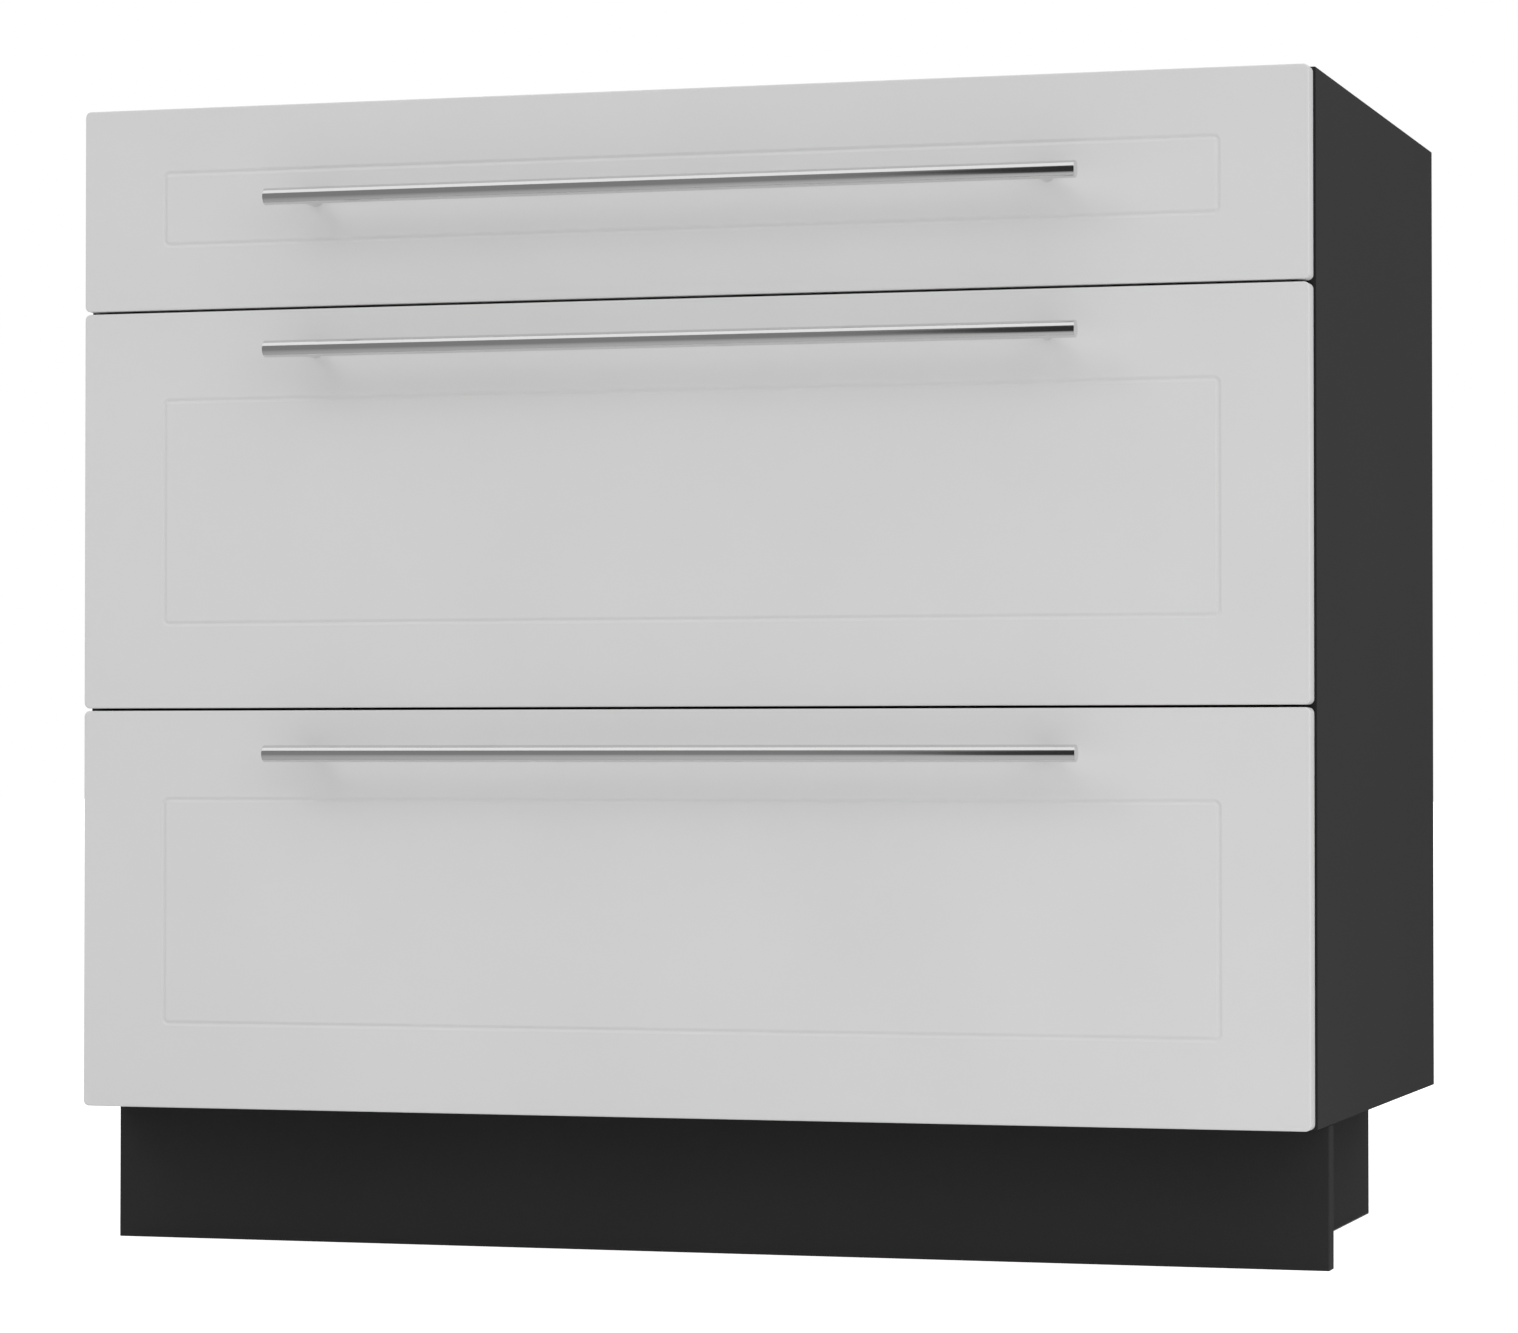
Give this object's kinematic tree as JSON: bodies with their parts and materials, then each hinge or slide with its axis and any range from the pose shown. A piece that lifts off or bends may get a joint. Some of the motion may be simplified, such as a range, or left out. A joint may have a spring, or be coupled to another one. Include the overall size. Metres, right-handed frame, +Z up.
{
  "type": "base cabinet with drawers",
  "caption": "Kitchen base cabinet on a recessed plinth, with full-width drawers on full-extension ball runners, grooved drawer fronts and long round bar handles.",
  "frame": {"origin": "on the floor, under the middle of the whole object's width and depth", "axes": "+X to the right as the user faces the drawer fronts, +Y towards the wall behind, +Z up; the drawers open along -Y"},
  "size_m": [0.9, 0.556, 0.82],
  "materials": {
    "front_film": "satin light grey film over fibreboard, with a routed line",
    "carcass_board": "charcoal melamine-faced chipboard with edging of the same colour",
    "box_board": "light grey melamine-faced chipboard",
    "box_bottom_board": "light grey faced fibreboard",
    "runner_steel": "bright zinc-plated rolled sheet",
    "handle_steel": "fine brushed stainless steel, nearly polished"
  },
  "bodies": {
    "carcass": {"left_side_panel": "carcass_board", "right_side_panel": "carcass_board", "bottom_panel": "carcass_board", "top_front_rail": "carcass_board", "top_back_rail": "carcass_board", "back_panel": "carcass_board", "toe_kick_board": "carcass_board", "plinth_left_side": "carcass_board", "plinth_right_side": "carcass_board", "plinth_front_rail": "carcass_board", "plinth_back_rail": "carcass_board", "top_runner_cabinet_member_left": "runner_steel", "top_runner_cabinet_member_right": "runner_steel", "middle_runner_cabinet_member_left": "runner_steel", "middle_runner_cabinet_member_right": "runner_steel", "bottom_runner_cabinet_member_left": "runner_steel", "bottom_runner_cabinet_member_right": "runner_steel"},
    "top_drawer": {"top_drawer_front": "front_film", "top_handle_bar": "handle_steel", "top_handle_post_left": "handle_steel", "top_handle_post_right": "handle_steel", "top_box_front": "box_board", "top_box_back": "box_board", "top_box_left": "box_board", "top_box_right": "box_board", "top_box_bottom": "box_bottom_board", "top_runner_drawer_member_left": "runner_steel", "top_runner_drawer_member_right": "runner_steel"},
    "middle_drawer": {"middle_drawer_front": "front_film", "middle_handle_bar": "handle_steel", "middle_handle_post_left": "handle_steel", "middle_handle_post_right": "handle_steel", "middle_box_front": "box_board", "middle_box_back": "box_board", "middle_box_left": "box_board", "middle_box_right": "box_board", "middle_box_bottom": "box_bottom_board", "middle_runner_drawer_member_left": "runner_steel", "middle_runner_drawer_member_right": "runner_steel"},
    "bottom_drawer": {"bottom_drawer_front": "front_film", "bottom_handle_bar": "handle_steel", "bottom_handle_post_left": "handle_steel", "bottom_handle_post_right": "handle_steel", "bottom_box_front": "box_board", "bottom_box_back": "box_board", "bottom_box_left": "box_board", "bottom_box_right": "box_board", "bottom_box_bottom": "box_bottom_board", "bottom_runner_drawer_member_left": "runner_steel", "bottom_runner_drawer_member_right": "runner_steel"},
    "top_intermediates": {"top_runner_intermediate_left": "runner_steel", "top_runner_intermediate_right": "runner_steel"},
    "middle_intermediates": {"middle_runner_intermediate_left": "runner_steel", "middle_runner_intermediate_right": "runner_steel"},
    "bottom_intermediates": {"bottom_runner_intermediate_left": "runner_steel", "bottom_runner_intermediate_right": "runner_steel"}
  },
  "joints": [
    {"name": "top_drawer_slide", "type": "slide", "parent": "carcass", "child": "top_drawer", "axis": [0, -1, 0], "range_m": [0, 0.45]},
    {"name": "middle_drawer_slide", "type": "slide", "parent": "carcass", "child": "middle_drawer", "axis": [0, -1, 0], "range_m": [0, 0.45]},
    {"name": "bottom_drawer_slide", "type": "slide", "parent": "carcass", "child": "bottom_drawer", "axis": [0, -1, 0], "range_m": [0, 0.45]},
    {"name": "top_intermediate_slide", "type": "slide", "parent": "carcass", "child": "top_intermediates", "axis": [0, -1, 0], "range_m": [0, 0.225]},
    {"name": "middle_intermediate_slide", "type": "slide", "parent": "carcass", "child": "middle_intermediates", "axis": [0, -1, 0], "range_m": [0, 0.225]},
    {"name": "bottom_intermediate_slide", "type": "slide", "parent": "carcass", "child": "bottom_intermediates", "axis": [0, -1, 0], "range_m": [0, 0.225]}
  ],
  "couplings": [
    {"joint": "top_intermediate_slide", "follows": "top_drawer_slide", "ratio": 0.5},
    {"joint": "middle_intermediate_slide", "follows": "middle_drawer_slide", "ratio": 0.5},
    {"joint": "bottom_intermediate_slide", "follows": "bottom_drawer_slide", "ratio": 0.5}
  ]
}
